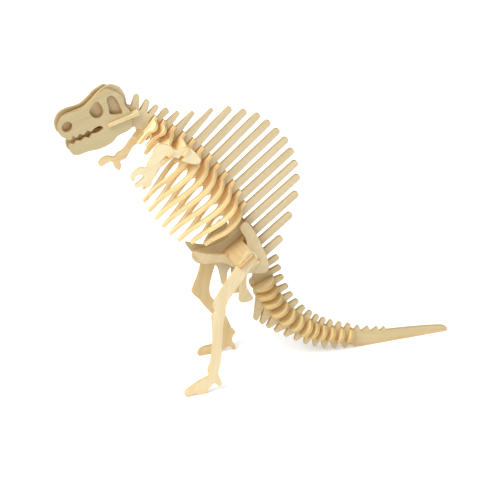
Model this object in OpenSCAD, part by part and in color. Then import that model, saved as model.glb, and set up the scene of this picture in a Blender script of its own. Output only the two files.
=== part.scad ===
// Slot-together wooden model of a sail-backed dinosaur skeleton.
// Every piece is a flat sheet of plywood. Two long profile plates stand upright on
// the centre plane, and cross plates drop into slots between their spines.
// The head points to -X, the left side is -Y, and the feet and tail rest on z = 0.

/* [Sheet] */
// Thickness of the plywood sheet
ply = 3; // [2.8:0.1:3.2]
// Room left on each side of a sheet in its slot
slot_gap = 0.15; // [0.1:0.05:0.25]
// Depth of the slots in the back of the profile plates
lap = 7.5; // [6:0.5:8.5]
// Extra width of the body plate's slots, on the side of the head
slot_slack = 1; // [0.6:0.1:1.2]

/* [Body] */
// Width of the vertebral column of the body plate, back to belly
column_w = 15; // [14:0.5:17]
// Length added to each of the sail's spines
sail_extra = 0; // [-6:1:6]
// Half width of the widest rib
rib_half_w = 20.5; // [18.5:0.5:21]
// Distance from the centre plane to the middle of each shoulder blade
arm_y = 24; // [23.5:0.5:27]

/* [Head] */
// Distance from the centre plane to the middle of each skull side
skull_y = 5; // [4.8:0.1:6]
// Length of the bar that locks the skull
head_bar_l = 28; // [26:1:29]

/* [Hips and legs] */
// Distance from the centre plane to the middle of each hip plate
hip_y = 10; // [9:0.5:14]
// Distance from the centre plane to the middle of each leg
leg_y = 34; // [32:0.5:38]
// Length of the tenons that the legs hang on, along the grain
tenon_l = 16; // [14:0.5:17]

/* [Hidden] */
$fn = 32;

slot_w = ply + 2*slot_gap;
smooth_steps = 4;          // straight pieces between two points of a smoothed outline
wood_light = "#EBDDB5";
wood_mid = "#DFCB98";

// ---------- curves ----------

function direction(angle) = [cos(angle), sin(angle)];
function mirrored(pts) = [for (i = [len(pts) - 1 : -1 : 0]) [-pts[i][0], pts[i][1]]];

// Point at u (0 to 1) between b and c, with a and d as their neighbours
function spline_point(a, b, c, d, u) =
    0.5*(2*b + (c - a)*u + (2*a - 5*b + 4*c - d)*u*u + (3*b - a - 3*c + d)*u*u*u);

// Point at the parameter s along an open smooth curve that passes through pts
function curve_at(pts, s) =
    let (last = len(pts) - 1,
         i = max(0, min(last - 1, floor(s))),
         before = i > 0 ? pts[i - 1] : 2*pts[0] - pts[1],
         after = i + 2 <= last ? pts[i + 2] : 2*pts[last] - pts[last - 1])
    spline_point(before, pts[i], pts[i + 1], after, s - i);

// Smooth closed outline through pts
function smooth(pts, steps = smooth_steps) =
    let (n = len(pts))
    [for (i = [0 : n - 1]) for (k = [0 : steps - 1])
        spline_point(pts[(i + n - 1) % n], pts[i], pts[(i + 1) % n], pts[(i + 2) % n], k/steps)];

// Points along an open smooth curve through pts
function through(pts, steps = smooth_steps) =
    [for (k = [0 : steps*(len(pts) - 1)]) curve_at(pts, k/steps)];

// Outline of a bar with a half-round end, from its root's first corner to its second
function finger(first, second, tip, tip_w) =
    let (root = (first + second)/2,
         along = (tip - root)/norm(tip - root),
         side = (first - second)*[-along[1], along[0]] > 0 ? [-along[1], along[0]] : [along[1],
             -along[0]],
         centre = tip - along*tip_w/2)
    concat([first],
           [for (a = [0 : 22.5 : 180]) centre + tip_w/2*(cos(a)*side + sin(a)*along)],
           [second]);

// ---------- the back line ----------

// Bottoms of every third gap between the spines, from the neck to the tail root
back_points = [[-108.4, 255.5], [-86.7, 242.9], [-61.3, 222.5], [-39.5, 197.3], [-20.1, 169.5],
               [-9, 134.6], [4, 101.5]];
gaps_per_point = 3;
last_gap = 18;
function gap_at(g) = curve_at(back_points, g/gaps_per_point);

// Slope of the spines, in degrees from the horizontal, against the gap number
function spine_angle(g) = lookup(g, [[-1, 84], [0, 76], [1, 60], [2, 48], [3, 46], [5, 46], [7, 42.5],
                                     [10, 40], [12, 38.3], [18, 37.5]]);

// Length of each spine from the back line to its tip
function spine_length(i) =
    lookup(i, [[0, 11.5], [2, 9], [3, 10], [4, 12], [5, 18.5], [6, 29.5], [7, 40], [8, 47], [9, 53.2],
               [10, 55.8], [12, 58.4], [14, 58.4], [15, 56.6], [16, 50], [17, 37.5], [18, 21]])
    + (i > 5 && i < 18 ? sail_extra : 0);
function spine_tip_w(i) = lookup(i, [[0, 4.6], [2, 4], [3, 5.4], [4, 3.6], [6, 2.8], [7, 5.2],
                                       [8, 5.8], [18, 6.4]]);

// Gaps that hold a cross plate or an empty slot; the first two gaps of the neck hold nothing
neck_gap = 2;
shoulder_gap = 4;
rib_gap = 6;
slot_gaps = [for (g = [neck_gap : 17]) if (g != 16) g];

// Half of the space between two spines at the back line
function half_gap(g) = g < neck_gap ? 0.6 : slot_w/2 + 0.1;

// Outline of spine i, which stands between the gaps i - 1 and i
function spine(i) =
    let (across = direction(spine_angle(i - 0.5) - 90),
         slack = i < neck_gap ? 0 : slot_slack,
         tip = gap_at(i - 0.5) + spine_length(i)*direction(spine_angle(i - 0.5)))
    finger(gap_at(i - 1) + half_gap(i - 1)*across, gap_at(i) - (half_gap(i) + slack)*across,
           tip, spine_tip_w(i));

// ---------- plates ----------

// Upright sheet parallel to the centre plane, drawn in X and Z
module side_sheet(y, tint) {
    color(tint) translate([0, y, 0]) rotate([90, 0, 0])
        linear_extrude(ply, center = true) children();
}

// Frame of a cross plate: x across the model, y up along the spines, z to the rear
module cross_frame(at, angle) {
    translate([at[0], 0, at[1]]) rotate([0, 180 - angle, 0]) rotate(90) children();
}

// Sheet across the model, drawn with x across and y up along the spines from the point at
module cross_sheet(at, angle, tint) {
    color(tint) cross_frame(at, angle) linear_extrude(ply, center = true) children();
}

// Slot in a side sheet from the depth "from" to "to" below the point at, along the spines
module side_slot(at, angle, from, to, slack = 0) {
    cross_frame(at, angle) translate([-50, -to, -slot_w/2 - slack]) cube([100, to - from,
        slot_w + slack]);
}

// Slot in a cross sheet, at the distance x from the centre plane
module cross_slot(x, from, to) {
    translate([x - slot_w/2, -to]) square([slot_w, to - from]);
}

// ---------- the seam between the body plate and the tail plate ----------

seam_at = gap_at(last_gap);
seam_angle = spine_angle(last_gap);
seam_l = 15.5;
key_r = 3.6;                // round head of the key
key_neck = 4;               // width of the key's neck
key_reach = 4.6;            // from the seam to the middle of the key's head

// Seam from back to belly, with a round key that stands grow mm proud of its own size
function seam(grow) =
    let (down = direction(seam_angle + 180), out = direction(seam_angle + 90),
         foot = seam_at + seam_l/2*down, centre = foot + key_reach*out,
         half = asin((key_neck/2 + grow)/(key_r + grow)))
    concat([seam_at, foot - (key_neck/2 + grow)*down],
           [for (a = [-90 + half : (360 - 2*half)/16 : 270.01 - half])
               centre + (key_r + grow)*(-cos(a)*down + sin(a)*out)],
           [foot + (key_neck/2 + grow)*down, seam_at + seam_l*down]);

// ---------- body plate ----------

head_at = [-110.8, 255.5];  // rear end of the head bar
head_angle = 15.5;
skull_lap = head_bar_l*0.55; // depth of the slots in the skull sides

// Head end of the body plate between the skull sides, from the throat over the snout to the nape
skull_tab = [[-113.5, 241.5], [-121, 239.8], [-130, 236.4], [-140, 231.4], [-150, 230], [-160, 231],
             [-166, 236], [-172, 244], [-176, 250.5], [-173, 258.5], [-165, 261.8], [-156, 264.5],
             [-149, 270], [-143.5, 275.5], [-138, 279.2], [-132, 280.5], [-124, 276.5], [-120.4, 269],
             [-119.5, 263.5], [-118.2, 261]];
// Pelvis in front of the column, from the seam up to the belly
pelvis = [[-9.6, 93], [-16, 97], [-26, 101], [-32, 96], [-33.2, 86.5], [-36.8, 84], [-38.5, 92],
          [-41, 101], [-47, 105.5], [-55, 106.8], [-60, 108.8], [-63, 112], [-64, 116], [-61.5, 119.4],
          [-56, 120.4], [-49.6, 121.5], [-39, 124.6], [-32, 128], [-28.5, 134], [-27, 143]];
belly_gaps = [13 : -1 : 1];

module body_plate() {
    difference() {
        side_sheet(0, wood_mid)
            polygon(concat(seam(0.1), through(pelvis),
                           [for (g = belly_gaps) gap_at(g) - column_w*direction(spine_angle(g))],
                           through(skull_tab), [for (i = [0 : last_gap]) each spine(i)]));
        for (g = slot_gaps) side_slot(gap_at(g), spine_angle(g), -2, lap + 0.1, slot_slack);
        side_slot(head_at, head_angle, head_bar_l/2, 1.5*head_bar_l + slot_slack);
    }
}

// ---------- tail plate ----------

tail_spines = 17;
last_vertebra_gap = 13;     // the tail's gaps behind this one hold no cross plate
narrow_gap = 0.3;           // half of the space between the low spines behind it
tail_top = [[4, 101], [8.5, 77], [20.5, 55.5], [38, 38], [58, 26], [84, 17.5], [112, 12.5], [131, 11]];
// Outline of the smooth end of the tail, over the tip and back along the ground
tail_end = [[131, 11], [150, 9.4], [166, 7.6], [174.5, 6.2], [178.4, 4.6], [179.5, 2.6], [177.6, 0.4],
            [174, 0]];
// Bottoms of every third gap between the chevrons, from the ground to the hips
chevron_gaps = [[94, 0], [64, 12], [40.5, 21], [17, 38], [-5.5, 66]];
chevron_tips = [[89, 0.6], [62, 3.6], [36, 14.5], [10, 31], [-6, 44]];
chevrons = 12;
tail_root = [[-6.5, 72], [-8.3, 80], [-8.6, 91.4]];

function tail_gap(j) = curve_at(tail_top, lookup(j, [[0, 0], [2, 0.76], [4, 1.6], [8, 3.35], [17, 6.4]]));
function tail_angle(j) = lookup(j, [[0, 33], [1, 24], [4, 20], [6, 38], [8, 55], [11, 66], [17, 75]]);
function tail_length(i) = lookup(i, [[0, 12], [3, 12.5], [6, 10], [10, 7.5], [12, 6.5], [13, 5],
                                     [16, 3]]);

// Spine i of the tail stands between the tail gaps i and i + 1
function tail_spine(i) =
    let (across = direction(tail_angle(i + 0.5) - 90),
         root = (tail_gap(i) + tail_gap(i + 1))/2,
         first = i > last_vertebra_gap ? narrow_gap : half_gap(last_gap),
         second = i >= last_vertebra_gap ? narrow_gap : half_gap(last_gap))
    finger(tail_gap(i) + first*across, tail_gap(i + 1) - second*across,
           root + tail_length(i)*direction(tail_angle(i + 0.5)),
           lookup(i, [[0, 5.4], [3, 4.6], [12, 3.8], [13, 2.4], [16, 2]]));

// Chevron i points down between two gaps of the underside, counted from the ground end
function chevron(i) =
    let (step = (len(chevron_gaps) - 1)/chevrons)
    finger(curve_at(chevron_gaps, i*step), curve_at(chevron_gaps, (i + 1)*step),
           curve_at(chevron_tips, i*(len(chevron_tips) - 1)/(chevrons - 1)),
           lookup(i, [[0, 2.4], [11, 4.4]]));

module tail_plate() {
    difference() {
        side_sheet(0, wood_mid)
            polygon(concat([for (i = [0 : tail_spines - 1]) each tail_spine(i)], through(tail_end),
                           [for (i = [0 : chevrons - 1]) each chevron(i)], tail_root,
                           [for (i = [len(seam(0)) - 1 : -1 : 0]) seam(0)[i]]));
        for (k = [1 : vertebrae]) side_slot(tail_gap(k + 1), tail_angle(k + 1), -2, tail_lap(k) + 0.1);
    }
}

// ---------- skull ----------

skull_outline = [[-179.5, 251], [-178.5, 256], [-175.5, 260.5], [-170, 263], [-162, 264.5], [-157, 266],
                 [-151, 270.5], [-146.5, 275], [-142, 277.5], [-137, 279.5], [-132, 277.5], [-128, 275],
                 [-124, 270.5], [-122.5, 264], [-119, 259], [-117, 254], [-117, 244], [-121, 240.5],
                 [-129, 237.5], [-134, 232.5], [-144, 228.5], [-155, 227.5], [-164, 225.5], [-169, 228],
                 [-170.5, 233], [-169.5, 236.5], [-166.5, 236], [-164, 238.5], [-160.5, 238],
                 [-157, 240.5], [-153.5, 239.5], [-151, 242.5], [-146, 243], [-141.5, 246],
                 [-144.5, 248.5], [-149, 247], [-152, 244.5], [-155, 246], [-158.5, 242.5],
                 [-161.5, 244], [-164.5, 241], [-167.5, 243], [-169.5, 239.5], [-173.5, 241.5],
                 [-178, 245]];
nostril_at = [-172, 251.5];
nostril_d = 9;
eye = [[-152.8, 261.5], [-150.2, 267], [-146.3, 270], [-142.8, 266], [-140.9, 260], [-143.2, 255.8],
       [-148.5, 256]];
temple = [[-137.8, 271], [-135.5, 273.4], [-132, 272.5], [-129, 268], [-125, 258.2], [-126.4, 256.2],
          [-135, 257.4], [-136.4, 263]];

module skull_side(y) {
    difference() {
        side_sheet(y, wood_light) difference() {
            polygon(smooth(skull_outline));
            polygon(smooth(eye));
            polygon(smooth(temple));
            translate(nostril_at) circle(d = nostril_d);
        }
        side_slot(head_at, head_angle, -10, skull_lap);
    }
}

module head_bar() {
    half = skull_y + ply/2 + 2;
    cross_sheet(head_at, head_angle, wood_light) difference() {
        translate([-half, -head_bar_l]) square([2*half, head_bar_l]);
        cross_slot(0, -1, head_bar_l/2);
        for (side = [-1, 1]) cross_slot(side*skull_y, skull_lap, head_bar_l + 1);
    }
}

// ---------- cross plates of the neck and trunk ----------

rib_bend = 28;              // depth at which the blades of a rib plate begin

// Wishbone: narrow at the back, bulging beside the column, with two slim blades to the belly
module wishbone(half_w, length) {
    k = half_w/20.5;
    v = (length - rib_bend)/43;
    right = [[2.6, 0], [4.4*k, 5], [12*k, 8.8], [17.8*k, 13.6], [20.4*k, 20], [20.5*k, rib_bend],
             [19*k, rib_bend + 8*v], [16.5*k, rib_bend + 16*v], [13.6*k, rib_bend + 24*v],
             [11.3*k, rib_bend + 32*v], [10.4*k, rib_bend + 39*v], [9.2*k, rib_bend + 43*v],
             [7.2*k, rib_bend + 41*v], [7.4*k, rib_bend + 32*v], [9.8*k, rib_bend + 22*v],
             [12.8*k, rib_bend + 13*v], [15*k, rib_bend + 5*v], [15.4*k, 27], [13*k, 23.4],
             [8.5*k, 21.4], [3.4, 20.5]];
    outline = [for (p = right) [p[0], -p[1]]];
    difference() {
        polygon(smooth(concat(outline, mirrored(outline)), 3));
        cross_slot(0, lap, 30);
    }
}

function rib_length(k) = lookup(k, [[1, 60], [2, 68], [3, 71], [5, 71], [6, 69], [7, 61], [8, 50]]);
function rib_scale(k) = lookup(k, [[1, 0.9], [2, 1], [7, 1], [8, 0.88]]);

module rib(k) {
    g = rib_gap + k - 1;
    cross_sheet(gap_at(g), spine_angle(g), k % 2 == 0 ? wood_mid : wood_light)
        wishbone(rib_half_w*rib_scale(k), rib_length(k));
}

// Neck plates are short: two round lobes with a narrow blade under each
module neck_plate(k) {
    g = neck_gap + k - 1;
    right = [[2.6, 0], [5, 2.6], [11, 3.6], [14.4, 7], [12.6, 11], [9.4, 13.5], [8.8, 18], [8.6, 24],
             [7.2, 26.5], [5.4, 24.5], [5.4, 18.5], [4.4, 16.6], [2.6, 16]];
    outline = [for (p = right) [p[0], -p[1]]];
    cross_sheet(gap_at(g), spine_angle(g), wood_light) difference() {
        polygon(smooth(concat(outline, mirrored(outline)), 3));
        cross_slot(0, lap, 30);
    }
}

// Shoulder plates reach out to the shoulder blades, which drop on to them from the back
shoulder_reach = arm_y + slot_w/2 + 1;
function arm_top(k) = k == 1 ? 14 : 7;   // upper edge of the plate beside the arm
function arm_lap(k) = k == 1 ? 17 : 10;  // bottom of the slot for the arm
module shoulder_plate(k) {
    g = shoulder_gap + k - 1;
    top = arm_top(k);
    foot = arm_lap(k) + 4.5;
    right = [[2.6, 0], [4, 4], [9, 4 + top*0.15], [15, top - 1.6], [20, top - 0.4],
             [shoulder_reach - 0.8, top], [shoulder_reach, top + 1.2], [shoulder_reach, foot - 1.2],
             [shoulder_reach - 0.8, foot], [20, foot], [14, foot + 1], [9.4, 27], [7.2, 34], [5.4, 32],
             [4.8, 24], [2.6, 19]];
    outline = [for (p = right) [p[0], -p[1]]];
    cross_sheet(gap_at(g), spine_angle(g), wood_light) difference() {
        polygon(smooth(concat(outline, mirrored(outline)), 3));
        cross_slot(0, lap, 40);
        for (side = [-1, 1]) cross_slot(side*arm_y, -5, arm_lap(k));
    }
}

// ---------- arms ----------

shoulder_blade = [[-97, 216], [-90, 220.5], [-84, 218], [-77, 213.5], [-68, 210.5], [-64, 213],
                  [-66.5, 218], [-73, 225.5], [-79, 226.5], [-85, 225.5], [-92, 231], [-99, 232.5],
                  [-104, 229]];
arm_down = [[-106.5, 222], [-110.5, 217], [-111, 213.5], [-117, 214.5], [-122.5, 211.5], [-124.8, 206],
            [-122.5, 203.5], [-120.5, 207.5], [-116.5, 208.5], [-113.5, 206], [-117.5, 202.5],
            [-121.5, 199.5], [-120, 197.5], [-114.5, 198.5], [-109.5, 196], [-105.5, 203],
            [-102.5, 209]];
arm_forward = [[-103, 224.5], [-109, 220], [-112.5, 215.5], [-116, 211.5], [-120.5, 209.5],
               [-123.5, 206.5], [-129.5, 208.2], [-134.5, 206.5], [-137.5, 202.5], [-135.5, 199.8],
               [-132, 201], [-127.5, 203], [-124.5, 201], [-123, 196.5], [-119.5, 194], [-117.5, 198],
               [-118.5, 202], [-113.5, 204], [-110.5, 208.5], [-107.5, 213], [-102.5, 216]];

module arm(y, lower_arm) {
    difference() {
        side_sheet(y, wood_light) polygon(smooth(concat(shoulder_blade, lower_arm)));
        for (k = [1, 2]) {
            g = shoulder_gap + k - 1;
            side_slot(gap_at(g), spine_angle(g), arm_lap(k) - 0.1, arm_lap(k) + 12);
        }
    }
}

// ---------- hips ----------

hip_gap = 15;               // gap that the hip cross plate sits in
tenon_top = 16;             // depth of the tenons' upper edge below the back line
tenon_bottom = tenon_top + tenon_l;
hip_room = 7.6;             // half width of the cross plates between the two hip plates
shoulder = 1.2;             // step that stops a leg on its tenon
leg_play = 0.15;            // room above and below a tenon in its window

module hip_cross_plate() {
    reach = leg_y + ply/2 + 2.8;
    stop = leg_y - ply/2 - 0.3;
    right = [[2.6, 0], [4, 5.5], [7, 9], [hip_room, tenon_top - shoulder], [stop, tenon_top - shoulder],
             [stop, tenon_top], [reach, tenon_top], [reach, tenon_bottom], [stop, tenon_bottom],
             [stop, tenon_bottom + shoulder], [2, tenon_bottom + shoulder]];
    outline = [for (p = right) [p[0], -p[1]]];
    cross_sheet(gap_at(hip_gap), spine_angle(hip_gap), wood_light) difference() {
        polygon(concat(outline, mirrored(outline)));
        cross_slot(0, lap, tenon_bottom + 5);
    }
}

sacral_gap = 17;
peg_top = 9;                // depths of the sacral plate's pegs below the back line
peg_bottom = 18;

module sacral_plate() {
    reach = hip_y + ply/2 + 2;
    right = [[2.6, 0], [hip_room, 5], [hip_room, peg_top], [reach, peg_top], [reach, peg_bottom],
             [hip_room, peg_bottom], [hip_room, 20], [5, 22]];
    outline = [for (p = right) [p[0], -p[1]]];
    cross_sheet(gap_at(sacral_gap), spine_angle(sacral_gap), wood_light) difference() {
        polygon(concat(outline, mirrored(outline)));
        cross_slot(0, lap, 30);
    }
}

hip_outline = [[-24, 138], [-23, 143], [-18, 144], [-13, 137.5], [-8, 128.5], [-4, 119], [0, 109.5],
               [2.5, 99], [0, 94.5], [-5, 94], [-12, 95], [-17, 95.5], [-18.4, 91], [-18.2, 83],
               [-15.4, 77.5], [-12.2, 71.5], [-15.4, 69], [-21.9, 68.8], [-25, 71.4], [-24.4, 81],
               [-24.6, 91], [-26, 98], [-30, 103.5], [-38, 108.8],
               [-45, 111], [-54, 110.8], [-59, 112.8], [-64.4, 119.5], [-66.4, 124.3], [-62, 123.2],
               [-54, 120.2], [-42.7, 117.6], [-31.4, 116.8], [-23, 117.8], [-18.5, 121], [-19, 129]];

module hip(y) {
    difference() {
        side_sheet(y, wood_mid) polygon(smooth(hip_outline, 3));
        side_slot(gap_at(hip_gap), spine_angle(hip_gap), tenon_top - shoulder - leg_play,
                  tenon_bottom + shoulder + leg_play);
        side_slot(gap_at(sacral_gap), spine_angle(sacral_gap), peg_top - leg_play, peg_bottom + leg_play);
    }
}

// ---------- legs ----------

leg_near = [[-26, 128.5], [-32, 120], [-39.5, 110.5], [-46, 102], [-51.5, 94.5], [-56, 87],
            [-57.5, 81.5], [-56, 76.5], [-59, 72.5], [-58.5, 66], [-58, 50], [-59.2, 38], [-60.2, 29],
            [-62.6, 23.5], [-62.6, 19.5], [-61.8, 16.6], [-67, 14.4], [-72, 12.6], [-78, 9.2],
            [-82.6, 6.6], [-83.8, 3.4], [-82.6, 0.2], [-80, -0.8], [-77.8, 1.2], [-74.5, 2],
            [-71.5, -0.3], [-68.4, -0.9], [-65.4, 0.3], [-62.5, 4], [-58.8, 8], [-56, 8.4], [-54, 5.8],
            [-51.9, 5.2], [-50.6, 7.6], [-52.2, 13.4], [-53.6, 18], [-52.2, 24], [-51.2, 29],
            [-50.5, 37], [-49.8, 50], [-49, 61.5], [-48.2, 68], [-46.6, 73.5], [-46.4, 80], [-43.5, 87],
            [-38.5, 93], [-34, 99], [-29, 105], [-23.5, 112.5], [-18, 120.5], [-20, 126]];
leg_far = [[-26, 128.5], [-33, 120.5], [-40, 111], [-43, 100], [-44, 90], [-46.5, 80], [-50.5, 70],
           [-52.5, 64.5], [-50.5, 60.5], [-46.5, 56.5], [-41.5, 49], [-34, 39.5], [-27.5, 32],
           [-25.5, 25], [-26, 18], [-29.5, 11.5], [-35, 8.5], [-41, 8.2], [-46, 5.8], [-47.6, 2],
           [-45.5, -0.5], [-39, -1], [-33, -0.5], [-29, 0.8], [-24, 2.6], [-18, 4.2], [-15, 1.2],
           [-12.5, 0.4], [-13, 5], [-15.5, 9.5], [-15, 13.5], [-12.5, 18], [-16, 22.5], [-18, 28],
           [-21.5, 36], [-26, 44], [-31, 51], [-35.5, 58], [-36.5, 66], [-34.5, 76], [-31.5, 86],
           [-28, 97], [-24.5, 108], [-19, 118], [-20, 126]];

module leg(y, outline) {
    difference() {
        side_sheet(y, wood_light) difference() {
            polygon(smooth(outline));
            translate([-120, -10]) square([160, 10]);
        }
        side_slot(gap_at(hip_gap), spine_angle(hip_gap), tenon_top - leg_play, tenon_bottom + leg_play);
    }
}

// ---------- tail cross plates ----------

vertebrae = 12;
function tail_lap(k) = lookup(k, [[1, 6.5], [12, 4.5]]);

module tail_vertebra(k) {
    reach = lookup(k, [[1, 15], [4, 13.5], [8, 10], [12, 7]]);
    deep = lookup(k, [[1, 17], [6, 14], [12, 11]]);
    rise = lookup(k, [[1, 3.6], [12, 1.6]]);
    right = [[2.4, rise], [reach*0.5, rise*0.7], [reach*0.9, -deep*0.15], [reach, -deep*0.45],
             [reach*0.85, -deep*0.8], [reach*0.5, -deep]];
    cross_sheet(tail_gap(k + 1), tail_angle(k + 1), wood_mid) difference() {
        polygon(smooth(concat(right, mirrored(right)), 3));
        cross_slot(0, tail_lap(k), 30);
    }
}

body_plate();
tail_plate();
skull_side(-skull_y);  // skull_left
skull_side(skull_y);  // skull_right
head_bar();
neck_plate(1);  // neck_plate_1
neck_plate(2);  // neck_plate_2
shoulder_plate(1);  // shoulder_plate_1
shoulder_plate(2);  // shoulder_plate_2
rib(1);  // rib_1
rib(2);  // rib_2
rib(3);  // rib_3
rib(4);  // rib_4
rib(5);  // rib_5
rib(6);  // rib_6
rib(7);  // rib_7
rib(8);  // rib_8
arm(-arm_y, arm_down);  // arm_left
arm(arm_y, arm_forward);  // arm_right
hip_cross_plate();
sacral_plate();
hip(-hip_y);  // hip_left
hip(hip_y);  // hip_right
leg(-leg_y, leg_near);  // leg_left
leg(leg_y, leg_far);  // leg_right
tail_vertebra(1);  // tail_vertebra_1
tail_vertebra(2);  // tail_vertebra_2
tail_vertebra(3);  // tail_vertebra_3
tail_vertebra(4);  // tail_vertebra_4
tail_vertebra(5);  // tail_vertebra_5
tail_vertebra(6);  // tail_vertebra_6
tail_vertebra(7);  // tail_vertebra_7
tail_vertebra(8);  // tail_vertebra_8
tail_vertebra(9);  // tail_vertebra_9
tail_vertebra(10);  // tail_vertebra_10
tail_vertebra(11);  // tail_vertebra_11
tail_vertebra(12);  // tail_vertebra_12
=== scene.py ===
# Slot-together wooden skeleton of a sail-backed dinosaur on a pale floor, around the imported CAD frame.
import math
import random

import bpy
from mathutils import Matrix, Vector


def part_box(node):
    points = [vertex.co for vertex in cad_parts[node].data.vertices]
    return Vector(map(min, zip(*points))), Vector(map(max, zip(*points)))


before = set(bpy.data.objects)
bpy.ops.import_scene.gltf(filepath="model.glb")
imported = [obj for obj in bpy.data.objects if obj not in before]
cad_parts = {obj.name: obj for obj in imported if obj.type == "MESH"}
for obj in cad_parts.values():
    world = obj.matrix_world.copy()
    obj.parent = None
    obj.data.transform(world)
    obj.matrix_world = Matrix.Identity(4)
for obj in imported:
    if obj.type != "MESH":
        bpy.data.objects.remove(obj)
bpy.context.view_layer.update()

MM = 0.001
random.seed(7)


# ---------- small node helpers ----------

class Tree:
    """Short calls for building a node tree."""

    def __init__(self, tree):
        self.tree = tree

    def add(self, kind, **values):
        node = self.tree.nodes.new(kind)
        for key, value in values.items():
            setattr(node, key, value)
        return node

    def link(self, source, target):
        self.tree.links.new(source, target)

    def put(self, socket, value):
        if isinstance(value, bpy.types.NodeSocket):
            self.link(value, socket)
        else:
            socket.default_value = value

    def math(self, operation, a, b=0.0, c=0.0):
        node = self.add("ShaderNodeMath", operation=operation)
        for socket, value in zip(node.inputs, (a, b, c)):
            self.put(socket, value)
        return node.outputs[0]

    def vector(self, operation, a, b):
        node = self.add("ShaderNodeVectorMath", operation=operation)
        self.put(node.inputs[0], a)
        self.put(node.inputs[1], b)
        return node.outputs["Value"] if operation == "DOT_PRODUCT" else node.outputs["Vector"]

    def combine(self, *parts):
        node = self.add("ShaderNodeCombineXYZ")
        for socket, value in zip(node.inputs, parts):
            self.put(socket, value)
        return node.outputs[0]

    def separate(self, vector):
        node = self.add("ShaderNodeSeparateXYZ")
        self.link(vector, node.inputs[0])
        return node.outputs

    def between(self, factor, a, b):
        """Number between a and b."""
        node = self.add("ShaderNodeMix", data_type="FLOAT")
        self.put(node.inputs[0], factor)
        self.put(node.inputs[2], a)
        self.put(node.inputs[3], b)
        return node.outputs[0]

    def mix(self, factor, a, b, blend="MIX"):
        node = self.add("ShaderNodeMix", data_type="RGBA", blend_type=blend)
        self.put(node.inputs[0], factor)
        self.put(node.inputs[6], a)
        self.put(node.inputs[7], b)
        return node.outputs[2]

    def darken(self, factor, color, by):
        """Multiply a colour by another one as far as factor says."""
        return self.mix(factor, color, self.mix(1.0, color, by, "MULTIPLY"))

    def ramp(self, value, low, high, out_low=0.0, out_high=1.0):
        node = self.add("ShaderNodeMapRange", interpolation_type="SMOOTHSTEP")
        for socket, number in zip(node.inputs[:5], (value, low, high, out_low, out_high)):
            self.put(socket, number)
        return node.outputs[0]

    def noise(self, vector, scale, detail=2.0, rough=0.5):
        """Noise with its own scale, per mm, along x, y and z."""
        node = self.add("ShaderNodeTexNoise")
        self.link(self.vector("MULTIPLY", vector, scale), node.inputs["Vector"])
        node.inputs["Scale"].default_value = 1.0
        node.inputs["Detail"].default_value = detail
        node.inputs["Roughness"].default_value = rough
        return node.outputs["Fac"]


def srgb(red, green, blue):
    """Linear colour with alpha from 0 to 255 display values."""
    def linear(v):
        v /= 255.0
        return v / 12.92 if v <= 0.04045 else ((v + 0.055) / 1.055) ** 2.4
    return (linear(red), linear(green), linear(blue), 1.0)


# ---------- plywood ----------

# Painted shade: surfaces with others within this reach are darkened towards this deep orange, as the
# shade in the hollows.
PAINTED_SHADE_REACH = 14 * MM
PAINTED_SHADE_TINT = (0.93, 0.66, 0.38, 1.0)
CORNER_RADIUS = 0.5 * MM
CORNER_TINT = (0.66, 0.53, 0.36, 1.0)
CORNER_WEAR = 0.75
CUT_ROUGHNESS = 0.85
BUMP_HEIGHT = 0.1 * MM
# How strongly red, green and blue follow the light and dark of the grain
CHANNEL_POWERS = (0.75, 1.0, 1.55)


def wavy_grain(t, moved):
    """Position with the grain lines bent sideways by a few mm."""
    bend = t.noise(moved, (0.012, 0.03, 0.0))
    along, across, _ = t.separate(moved)
    return t.combine(along, t.math("MULTIPLY_ADD", bend, 9.0, across))


def face_grain(t, moved):
    """Lightness, bump height and streaks of the face veneer."""
    flat = wavy_grain(t, moved)
    rings = t.noise(flat, (0.006, 0.22, 0.0), 3.0, 0.55)
    streak = t.noise(flat, (0.03, 1.1, 0.0), 4.0, 0.6)
    fibre = t.noise(flat, (0.16, 5.0, 0.0), 3.0, 0.6)
    fleck = t.noise(flat, (0.45, 4.2, 0.0), 1.0)
    blotch = t.noise(flat, (0.02, 0.04, 0.0))
    light = t.ramp(rings, 0.3, 0.7, -0.05, 0.05)
    for pattern, depth in ((streak, 0.035), (fibre, 0.02), (blotch, 0.035)):
        light = t.math("ADD", light, t.ramp(pattern, 0.3, 0.7, -depth, depth))
    light = t.math("SUBTRACT", light, t.ramp(fleck, 0.66, 0.78, 0.0, 0.07))
    height = t.math("ADD", t.math("MULTIPLY", fibre, 0.6), t.math("MULTIPLY", streak, 0.4))
    return light, height, streak


def cut_layers(t, position, moved):
    """Lightness and bump height of a cut edge: two face veneers, thin glue lines and a darker core."""
    depth = t.math("ABSOLUTE", t.separate(position)[2])
    wander = t.noise(moved, (0.12, 0.12, 0.0))
    depth = t.math("ADD", depth, t.ramp(wander, 0.3, 0.7, -0.1, 0.1))
    core = t.ramp(depth, 0.66, 0.6)
    glue = t.math("MULTIPLY", t.ramp(depth, 0.52, 0.6), t.ramp(depth, 0.74, 0.64))
    cut = t.noise(moved, (2.6, 2.6, 0.35), 3.0, 0.65)
    patch = t.noise(moved, (0.09, 0.09, 0.2))
    light = t.math("ADD", t.ramp(cut, 0.3, 0.7, -0.06, 0.05), t.ramp(patch, 0.35, 0.7, -0.07, 0.03))
    light = t.math("SUBTRACT", light, t.math("MULTIPLY", core, 0.06))
    light = t.math("SUBTRACT", light, t.math("MULTIPLY", glue, 0.1))
    height = t.math("ADD", t.math("MULTIPLY", cut, 1.4), t.math("MULTIPLY", glue, -0.4))
    return light, height


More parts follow.
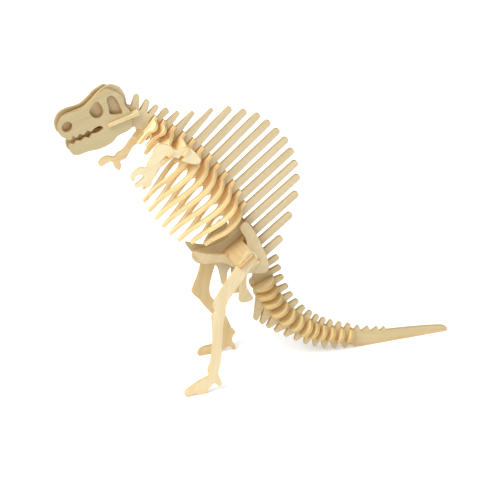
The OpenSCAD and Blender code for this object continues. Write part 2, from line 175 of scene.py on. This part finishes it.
def painted_shade_and_corner_wear(t, color, painted_shade_amount):
    """Painted shade: the hollows between sheets are darkened towards a deep orange where shade falls;
    sanded corners are rubbed a little darker.
    """
    shade_occlusion = t.add("ShaderNodeAmbientOcclusion", samples=6)
    shade_occlusion.inputs["Distance"].default_value = PAINTED_SHADE_REACH
    hollow_shade = t.math("MULTIPLY", t.ramp(shade_occlusion.outputs["AO"], 0.1, 0.75, 1.0, 0.0), painted_shade_amount)
    color = t.darken(hollow_shade, color, PAINTED_SHADE_TINT)
    corner = t.add("ShaderNodeBevel", samples=4)
    corner.inputs["Radius"].default_value = CORNER_RADIUS
    surface = t.add("ShaderNodeNewGeometry")
    turn = t.vector("DOT_PRODUCT", corner.outputs[0], surface.outputs["Normal"])
    return t.darken(t.ramp(turn, 0.985, 0.8, 0.0, CORNER_WEAR), color, CORNER_TINT)


def plywood_group():
    """Three-ply board. Position is in mm in the sheet's frame: x along the grain, z through the sheet."""
    group = bpy.data.node_groups.new("plywood", "ShaderNodeTree")
    for name, kind in (("Position", "NodeSocketVector"), ("Facing", "NodeSocketFloat"),
                       ("Seed", "NodeSocketFloat"), ("Tint", "NodeSocketColor"),
                       ("Edge", "NodeSocketColor"), ("PaintedShade", "NodeSocketFloat")):
        group.interface.new_socket(name, in_out="INPUT", socket_type=kind)
    for name, kind in (("Color", "NodeSocketColor"), ("Roughness", "NodeSocketFloat"),
                       ("Height", "NodeSocketFloat")):
        group.interface.new_socket(name, in_out="OUTPUT", socket_type=kind)
    t = Tree(group)
    given = t.add("NodeGroupInput").outputs
    result = t.add("NodeGroupOutput").inputs

    shift = t.combine(t.math("MULTIPLY", given["Seed"], 61.7), t.math("MULTIPLY", given["Seed"], 23.9))
    moved = t.vector("ADD", given["Position"], shift)
    on_face = t.ramp(given["Facing"], 0.55, 0.8)
    face_light, face_height, streak = face_grain(t, moved)
    cut_light, cut_height = cut_layers(t, given["Position"], moved)

    light = t.math("ADD", t.between(on_face, cut_light, face_light), 1.0)
    shade = t.combine(*[t.math("POWER", light, power) for power in CHANNEL_POWERS])
    base = t.mix(on_face, t.mix(1.0, given["Tint"], given["Edge"], "MULTIPLY"), given["Tint"])
    color = t.mix(1.0, base, shade, "MULTIPLY")
    # Painted shade in the hollows and the corner wear go onto the grain colour.
    t.link(painted_shade_and_corner_wear(t, color, given["PaintedShade"]), result["Color"])
    face_roughness = t.ramp(streak, 0.3, 0.7, 0.52, 0.66)
    t.link(t.between(on_face, CUT_ROUGHNESS, face_roughness), result["Roughness"])
    t.link(t.between(on_face, cut_height, face_height), result["Height"])
    return group


PLYWOOD = plywood_group()


def plywood(name, origin, normal, grain, tint, seed, edge, painted_shade_amount):
    """Material for one sheet: its mid-plane passes through origin, and its face grain runs along grain.
    Edge tints the cut edges, and the last argument sets how strongly painted shade darkens the hollows to
    a deep orange."""
    z_axis = Vector(normal).normalized()
    x_axis = Vector(grain)
    x_axis = (x_axis - x_axis.dot(z_axis) * z_axis).normalized()
    turn = Matrix((x_axis, z_axis.cross(x_axis), z_axis))
    material = bpy.data.materials.new(name)
    material.use_nodes = True
    t = Tree(material.node_tree)
    shader = material.node_tree.nodes["Principled BSDF"]
    place = t.add("ShaderNodeTexCoord")
    mapping = t.add("ShaderNodeMapping", vector_type="POINT")
    mapping.inputs["Location"].default_value = -(turn @ Vector(origin)) / MM
    mapping.inputs["Rotation"].default_value = turn.to_euler("XYZ")
    mapping.inputs["Scale"].default_value = (1 / MM, 1 / MM, 1 / MM)
    t.link(place.outputs["Object"], mapping.inputs["Vector"])
    facing = t.math("ABSOLUTE", t.vector("DOT_PRODUCT", place.outputs["Normal"], tuple(z_axis)))
    group = t.add("ShaderNodeGroup", node_tree=PLYWOOD)
    for socket, value in (("Position", mapping.outputs[0]), ("Facing", facing), ("Seed", seed),
                          ("Tint", tint), ("Edge", edge), ("PaintedShade", painted_shade_amount)):
        t.put(group.inputs[socket], value)
    t.link(group.outputs["Color"], shader.inputs["Base Color"])
    t.link(group.outputs["Roughness"], shader.inputs["Roughness"])
    bump = t.add("ShaderNodeBump")
    bump.inputs["Strength"].default_value = 0.35
    bump.inputs["Distance"].default_value = BUMP_HEIGHT
    t.link(group.outputs["Height"], bump.inputs["Height"])
    t.link(bump.outputs[0], shader.inputs["Normal"])
    shader.inputs["Specular IOR Level"].default_value = 0.3
    return material


# ---------- where each sheet lies ----------

# (gap number, slope in degrees) of the gaps between the spines
SPINE_SLOPE = ((2, 48), (3, 46), (5, 46), (7, 42.5), (10, 40), (12, 38.3), (18, 37.5))
TAIL_SLOPE = ((0, 33), (1, 24), (4, 20), (6, 38), (8, 55), (11, 66), (17, 75))
# The table of a row of plates, and how far its gap numbers run ahead of the numbers in the plates' names
NUMBERED = {"neck_plate": (SPINE_SLOPE, 1), "shoulder_plate": (SPINE_SLOPE, 3), "rib": (SPINE_SLOPE, 5),
            "tail_vertebra": (TAIL_SLOPE, 1)}
HEAD_BAR_SLOPE = 15.5
HIP_GAP, SACRAL_GAP = 15, 17
# Direction of the face grain in the sheets along the body, in degrees up from the tail
GRAIN = {"body_plate": 40, "tail_plate": -8, "skull_left": 14, "skull_right": 14, "arm_left": 20,
         "arm_right": 20, "hip_left": 60, "hip_right": 60, "leg_left": 84, "leg_right": 84}


def slope(table, number):
    for (a, low), (b, high) in zip(table, table[1:]):
        if a <= number <= b:
            return low + (high - low) * (number - a) / (b - a)
    return table[-1][1]


def cross_angle(node):
    """Slope of a cross plate's gap, in degrees, or None for a sheet parallel to the centre plane."""
    stem, _, last = node.rpartition("_")
    if stem in NUMBERED:
        table, ahead = NUMBERED[stem]
        return slope(table, int(last) + ahead)
    single = {"head_bar": HEAD_BAR_SLOPE, "hip_cross_plate": slope(SPINE_SLOPE, HIP_GAP),
              "sacral_plate": slope(SPINE_SLOPE, SACRAL_GAP)}
    return single.get(node)


def sheet_frame(node):
    """(origin, normal, grain) of a node's sheet, in metres."""
    angle = cross_angle(node)
    if angle is None:
        low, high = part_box(node)
        a = math.radians(GRAIN[node])
        return (Vector(low) + Vector(high)) / 2, (0, 1, 0), (math.cos(a), 0, math.sin(a))
    a = math.radians(angle)
    along = Vector((math.cos(a), 0, math.sin(a)))
    normal = Vector((-math.sin(a), 0, math.cos(a)))
    spread = [v.co.dot(normal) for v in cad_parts[node].data.vertices]
    origin = normal * ((min(spread) + max(spread)) / 2)
    return origin, normal, (0, 1, 0) if node == "hip_cross_plate" else along


# ---------- boards ----------

# Sheets cut from paler or darker board than the rest; the darker tints of the far leg (leg_right), the
# tail plate and the hip cross plate are painted shade.
PALE, TAN, WARM = srgb(225, 209, 170), srgb(201, 184, 147), srgb(238, 216, 168)
# The tail vertebrae's tint is paler than their board: painted light on faces that the neighbouring plates
# shade.
SKULL, HIP, VERTEBRA_TONE_AND_LIGHT = srgb(184, 167, 127), srgb(205, 186, 146), srgb(228, 207, 155)
BOARD_TONE_AND_SHADE = {"arm_left": PALE, "head_bar": PALE, "body_plate": TAN, "tail_plate": srgb(198, 179, 137),
         "skull_left": SKULL, "skull_right": SKULL, "hip_left": HIP, "hip_right": HIP,
         "hip_cross_plate": srgb(194, 168, 122), "leg_left": srgb(216, 198, 158),
         "leg_right": srgb(202, 178, 130)}
# The second edge colour darkens the tail vertebrae's cut edges into thin painted shade lines between the
# plates.
CUT_EDGE, VERTEBRA_EDGE_SHADE = (0.97, 0.91, 0.79, 1.0), (0.76, 0.7, 0.58, 1.0)
SHEET_VARIATION = 0.03
SEED_STEP = 1.37
EDGE_ROUND = 0.22 * MM
SAME_POINT = 0.002 * MM


def soften(obj):
    """Sanded edges: weld the mesh's split corners, then round every sharp edge a little."""
    weld = obj.modifiers.new("weld", "WELD")
    weld.merge_threshold = SAME_POINT
    bevel = obj.modifiers.new("edges", "BEVEL")
    bevel.width = EDGE_ROUND
    bevel.segments = 2
    bevel.limit_method = "ANGLE"
    bevel.angle_limit = math.radians(50)


for index, (node, obj) in enumerate(sorted(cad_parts.items())):
    on_tail = "vertebra" in node
    shade = 1 + random.uniform(-SHEET_VARIATION, SHEET_VARIATION)
    tint = tuple(c * shade for c in BOARD_TONE_AND_SHADE.get(node, VERTEBRA_TONE_AND_LIGHT if on_tail else WARM)[:3]) + (1.0,)
    # Tail vertebrae: darker cut edges as painted shade lines, and half the painted shade in the hollows.
    edge, painted_shade_amount = (VERTEBRA_EDGE_SHADE, 0.5) if on_tail else (CUT_EDGE, 1.0)
    material = plywood("ply_" + node, *sheet_frame(node), tint, index * SEED_STEP, edge, painted_shade_amount)
    obj.data.materials.clear()
    obj.data.materials.append(material)
    soften(obj)


# ---------- floor ----------

FLOOR_HALF = 6.0
floor_mesh = bpy.data.meshes.new("floor")
floor_mesh.from_pydata([(-FLOOR_HALF, -FLOOR_HALF, 0), (FLOOR_HALF, -FLOOR_HALF, 0),
                        (FLOOR_HALF, FLOOR_HALF, 0), (-FLOOR_HALF, FLOOR_HALF, 0)], [], [(0, 1, 2, 3)])
floor = bpy.data.objects.new("floor", floor_mesh)
floor_material = bpy.data.materials.new("floor")
floor_material.use_nodes = True
floor_shader = floor_material.node_tree.nodes["Principled BSDF"]
for socket, value in (("Base Color", (0.93, 0.93, 0.93, 1.0)), ("Roughness", 0.9),
                      ("Specular IOR Level", 0.1), ("Emission Color", (1.0, 1.0, 1.0, 1.0)),
                      ("Emission Strength", 0.22)):
    floor_shader.inputs[socket].default_value = value
floor_mesh.materials.append(floor_material)
bpy.context.scene.collection.objects.link(floor)

# ---------- light ----------

scene = bpy.context.scene
world = bpy.data.worlds.new("studio")
scene.world = world
world.use_nodes = True
world.node_tree.nodes["Background"].inputs["Color"].default_value = (1.0, 1.0, 1.0, 1.0)
world.node_tree.nodes["Background"].inputs["Strength"].default_value = 0.5


def sun(name, towards, strength, size_deg):
    """Soft distant light that shines along towards."""
    light = bpy.data.lights.new(name, "SUN")
    light.energy = strength
    light.angle = math.radians(size_deg)
    lamp = bpy.data.objects.new(name, light)
    lamp.rotation_euler = Vector(towards).to_track_quat("-Z", "Y").to_euler()
    scene.collection.objects.link(lamp)


sun("key", (0.6, 0.3, -0.74), 3.1, 40)
sun("fill", (0.3, 0.9, -0.3), 0.3, 60)

# ---------- camera ----------

TARGET = Vector((-0.011, 0.0, 0.112))
CAMERA_DISTANCE = 2.0
AZIMUTH, ELEVATION = math.radians(-21), math.radians(25)
view_from = Vector((math.cos(ELEVATION) * math.sin(AZIMUTH), -math.cos(ELEVATION) * math.cos(AZIMUTH),
                    math.sin(ELEVATION)))
camera_data = bpy.data.cameras.new("camera")
camera_data.sensor_width = 36.0
camera_data.lens = 167.5
camera_data.clip_end = 50.0
camera = bpy.data.objects.new("camera", camera_data)
camera.location = TARGET + CAMERA_DISTANCE * view_from
camera.rotation_euler = (-view_from).to_track_quat("-Z", "Y").to_euler()
scene.collection.objects.link(camera)
scene.camera = camera
scene.view_settings.view_transform = "Standard"
